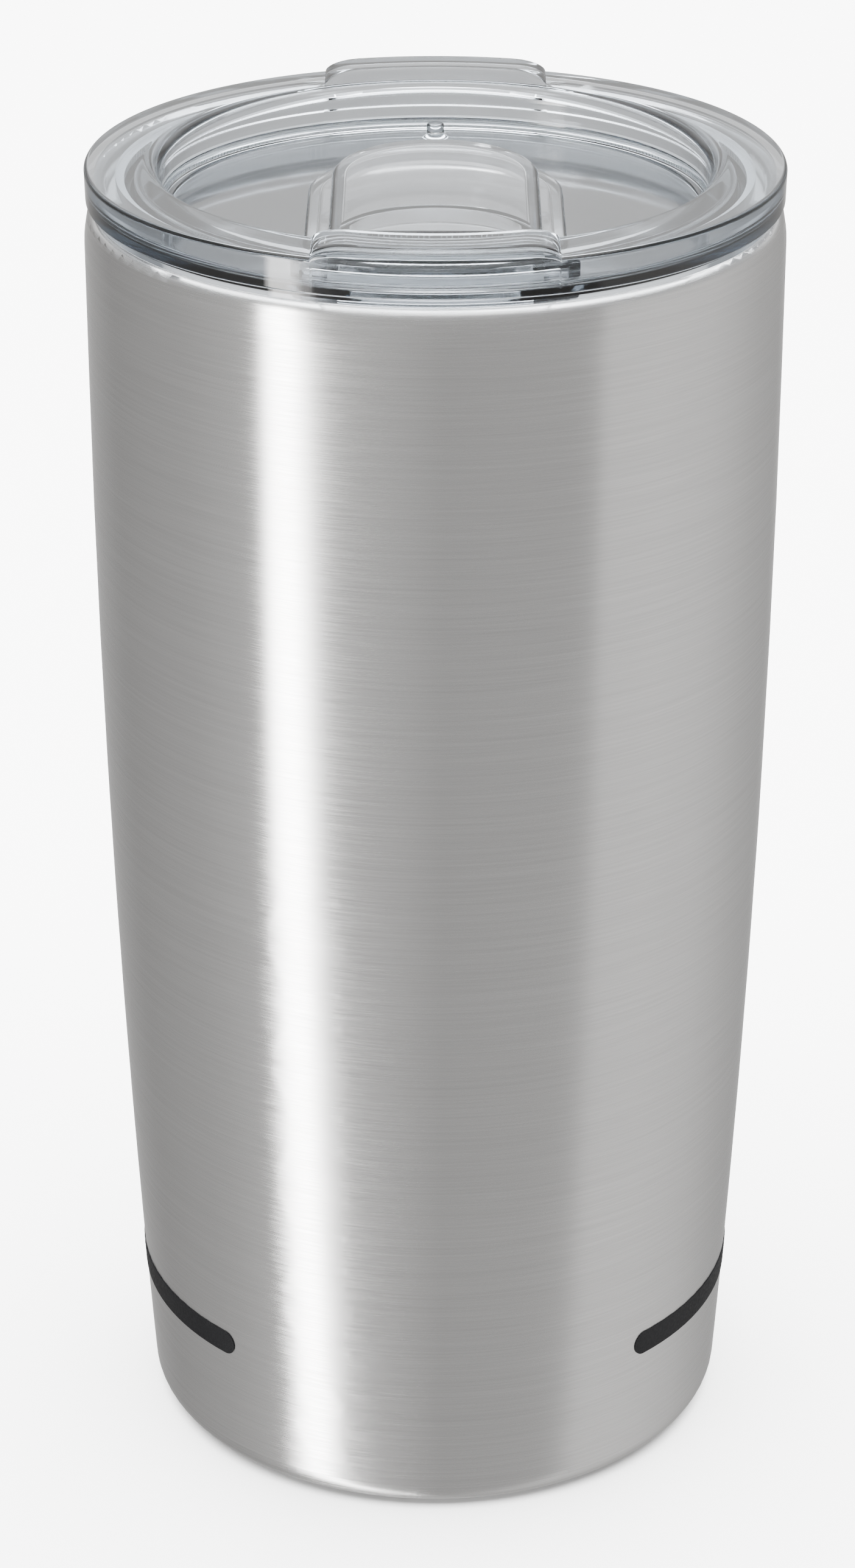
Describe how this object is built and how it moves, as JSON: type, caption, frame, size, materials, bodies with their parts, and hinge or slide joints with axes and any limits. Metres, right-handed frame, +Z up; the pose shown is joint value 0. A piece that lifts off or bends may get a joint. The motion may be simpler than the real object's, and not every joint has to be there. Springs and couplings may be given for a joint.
{
  "type": "insulated tumbler",
  "caption": "Double-walled steel tumbler with a clear push-on lid, raised drinking lips and a sliding closure over the drink opening.",
  "frame": {"origin": "centre of the ring on the floor that the cup stands on", "axes": "+Z up the cup's axis; the drink opening is towards -Y; +X is to the right of someone who faces the opening"},
  "size_m": [0.0888, 0.0888, 0.178],
  "materials": {
    "shell_steel": "brushed round the cup, satin",
    "liner_steel": "spun and electropolished",
    "foil": "bright rolled foil",
    "base_steel": "pressed, fine turned lines",
    "seal_glass": "fired solder glass",
    "getter_steel": "plain pressed",
    "getter": "sintered, matt",
    "stripe_ink": "printed, satin black",
    "lid_plastic": "clear, polished, faint blue-grey",
    "gasket": "translucent silicone",
    "slider_plastic": "clear, polished",
    "slider_gasket": "translucent silicone"
  },
  "bodies": {
    "cup": {"outer_shell": "shell_steel", "inner_liner": "liner_steel", "radiation_foil": "foil", "base_disc": "base_steel", "vacuum_seal_bead": "seal_glass", "getter_holder": "getter_steel", "getter_pill": "getter", "accent_stripe": "stripe_ink"},
    "lid": {"lid_body": "lid_plastic", "lid_gasket": "gasket"},
    "closure": {"slider": "slider_plastic", "slider_seal": "slider_gasket"}
  },
  "joints": [
    {"name": "lid_lift", "type": "slide", "parent": "cup", "child": "lid", "axis": [0, 0, 1], "range_m": [0, 0.03]},
    {"name": "slider_travel", "type": "slide", "parent": "lid", "child": "closure", "axis": [0, 1, 0], "range_m": [0, 0.015]}
  ]
}
